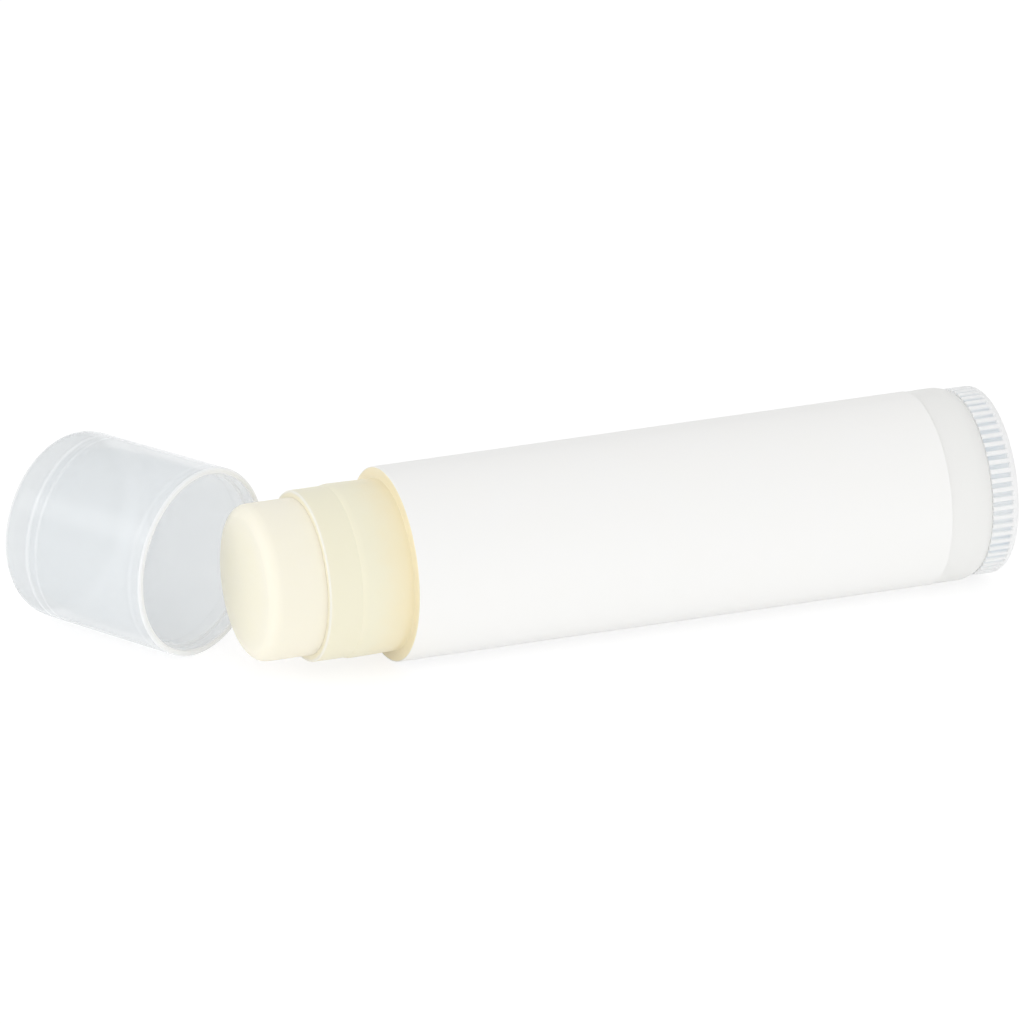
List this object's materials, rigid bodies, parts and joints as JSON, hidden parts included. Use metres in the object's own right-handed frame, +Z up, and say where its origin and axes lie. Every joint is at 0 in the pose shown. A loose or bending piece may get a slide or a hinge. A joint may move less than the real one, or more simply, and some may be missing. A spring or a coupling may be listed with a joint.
{
  "type": "lip balm stick",
  "caption": "Twist-up lip balm tube with white wrap label, ribbed dial and pale balm, shown lying on its side with its translucent cap off beside the tip.",
  "frame": {"origin": "middle of the whole object's footprint, on the surface that it lies on", "axes": "+X along the tube from the balm's tip to the dial, +Z up, +Y towards the side that the cap lies on"},
  "size_m": [0.0799, 0.0306, 0.016],
  "materials": {
    "barrel_plastic": "satin natural polypropylene",
    "label_film": "satin white film",
    "dial_plastic": "satin natural polypropylene",
    "carrier_plastic": "satin natural polypropylene",
    "balm_wax": "smooth poured wax balm",
    "cap_plastic": "clear natural polypropylene"
  },
  "bodies": {
    "tube": {"barrel": "barrel_plastic", "label": "label_film"},
    "dial": {"dial": "dial_plastic"},
    "stick": {"carrier": "carrier_plastic", "balm": "balm_wax"},
    "cap": {"cap": "cap_plastic"}
  },
  "joints": [
    {"name": "dial_turn", "type": "hinge", "parent": "tube", "child": "dial", "pos_m": [0.03992, -0.00727, 0.008], "axis": [-1, 0, 0], "range_deg": [-504, 3288]},
    {"name": "stick_slide", "type": "slide", "parent": "tube", "child": "stick", "axis": [-1, 0, 0], "range_m": [-0.00525, 0.03425]},
    {"name": "cap_slide", "type": "slide", "parent": "stick", "child": "cap", "axis": [-0.4886, 0.8725, 0], "range_m": [0, 0.03]}
  ],
  "couplings": [
    {"joint": "dial_turn", "follows": "stick_slide", "rad_per_m": 1675.5}
  ]
}
